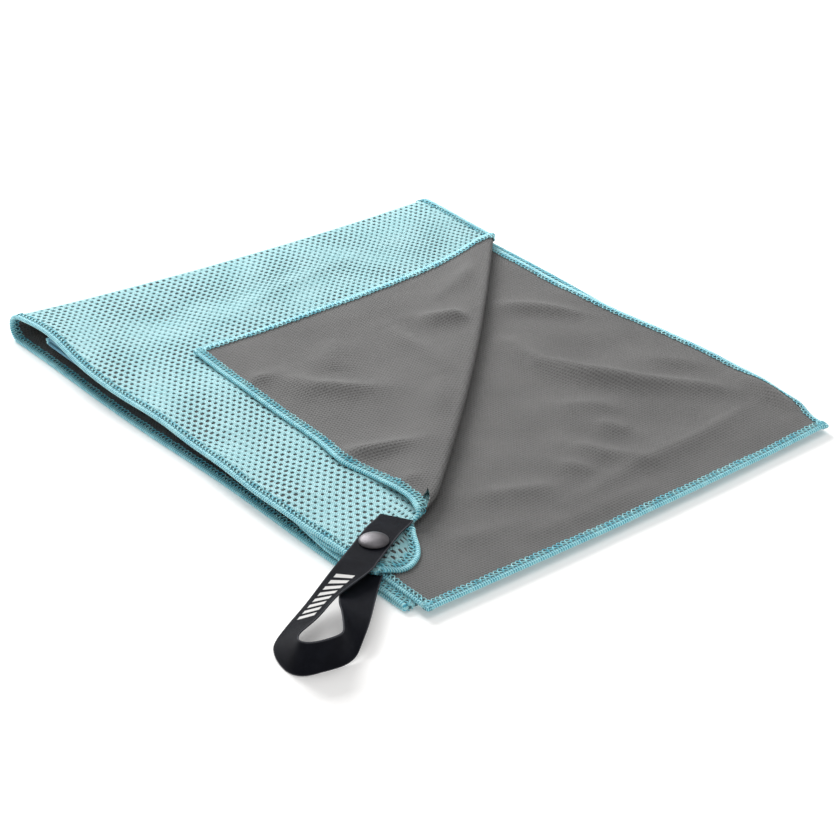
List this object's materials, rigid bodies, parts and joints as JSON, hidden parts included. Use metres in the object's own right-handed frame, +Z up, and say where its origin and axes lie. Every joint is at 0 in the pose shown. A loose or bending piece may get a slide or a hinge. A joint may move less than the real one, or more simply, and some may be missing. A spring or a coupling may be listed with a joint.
{
  "type": "quick dry towel",
  "caption": "Two-faced sports towel, open mesh on one side and fine knit on the other, folded flat with a corner turned back and a snap strap loop.",
  "frame": {"origin": "centre of the underside of the bottom panel, on the surface that the folded towel lies on", "axes": "+X from the outer fold to the free ends of the layers, +Y from the front side to the back side, +Z up through the layers"},
  "size_m": [0.3278, 0.3021, 0.0159],
  "materials": {
    "turquoise_mesh": "matte open mesh",
    "grey_knit": "matte fine knit",
    "edging_thread": "overlocked thread",
    "satin_tape": "satin woven tape",
    "gunmetal": "satin gunmetal plating",
    "spring_steel": "bright wire"
  },
  "bodies": {
    "folded_stack": {"bottom_panel_back_edging": "edging_thread", "bottom_panel_front_edging": "edging_thread", "bottom_panel_knit": "grey_knit", "bottom_panel_mesh": "turquoise_mesh", "first_fold_back_edging": "edging_thread", "first_fold_front_edging": "edging_thread", "first_fold_knit": "grey_knit", "first_fold_mesh": "turquoise_mesh", "inner_fold_back_edging": "edging_thread", "inner_fold_front_edging": "edging_thread", "inner_fold_knit": "grey_knit", "inner_fold_mesh": "turquoise_mesh", "lower_panel_back_edging": "edging_thread", "lower_panel_front_edging": "edging_thread", "lower_panel_knit": "grey_knit", "lower_panel_mesh": "turquoise_mesh", "outer_fold_back_edging": "edging_thread", "outer_fold_front_edging": "edging_thread", "outer_fold_knit": "grey_knit", "outer_fold_mesh": "turquoise_mesh", "upper_panel_back_edging": "edging_thread", "upper_panel_end_edging": "edging_thread", "upper_panel_front_edging": "edging_thread", "upper_panel_knit": "grey_knit", "upper_panel_mesh": "turquoise_mesh"},
    "top_panel": {"flap_bend_knit": "grey_knit", "flap_bend_mesh": "turquoise_mesh", "top_panel_back_edging": "edging_thread", "top_panel_end_edging": "edging_thread", "top_panel_front_edging": "edging_thread", "top_panel_knit": "grey_knit", "top_panel_mesh": "turquoise_mesh", "strap_leg": "satin_tape", "strap_loop": "satin_tape", "snap_stud": "gunmetal", "snap_stud_back": "gunmetal"},
    "corner_flap": {"corner_flap_back_edging": "edging_thread", "corner_flap_end_edging": "edging_thread", "corner_flap_knit": "grey_knit", "corner_flap_mesh": "turquoise_mesh"},
    "strap_tab": {"strap_tab": "satin_tape", "snap_cap": "gunmetal", "snap_socket": "gunmetal", "snap_spring": "spring_steel"}
  },
  "joints": [
    {"name": "top_panel_open", "type": "hinge", "parent": "folded_stack", "child": "top_panel", "pos_m": [-0.15996, 0, 0.00435], "axis": [0, -1, 0], "range_deg": [0, 170], "deforming": ["outer_fold_back_edging", "outer_fold_front_edging", "outer_fold_knit", "outer_fold_mesh"]},
    {"name": "corner_flap_open", "type": "hinge", "parent": "top_panel", "child": "corner_flap", "pos_m": [0.01752, 0.02141, 0.0091], "axis": [-0.7059, 0.7083, 0], "range_deg": [0, 175], "deforming": ["flap_bend_knit", "flap_bend_mesh"]},
    {"name": "strap_tab_unsnap", "type": "hinge", "parent": "top_panel", "child": "strap_tab", "pos_m": [0.13095, -0.12782, 0.0121], "axis": [0.866, 0.5, 0], "range_deg": [0, 110]}
  ]
}
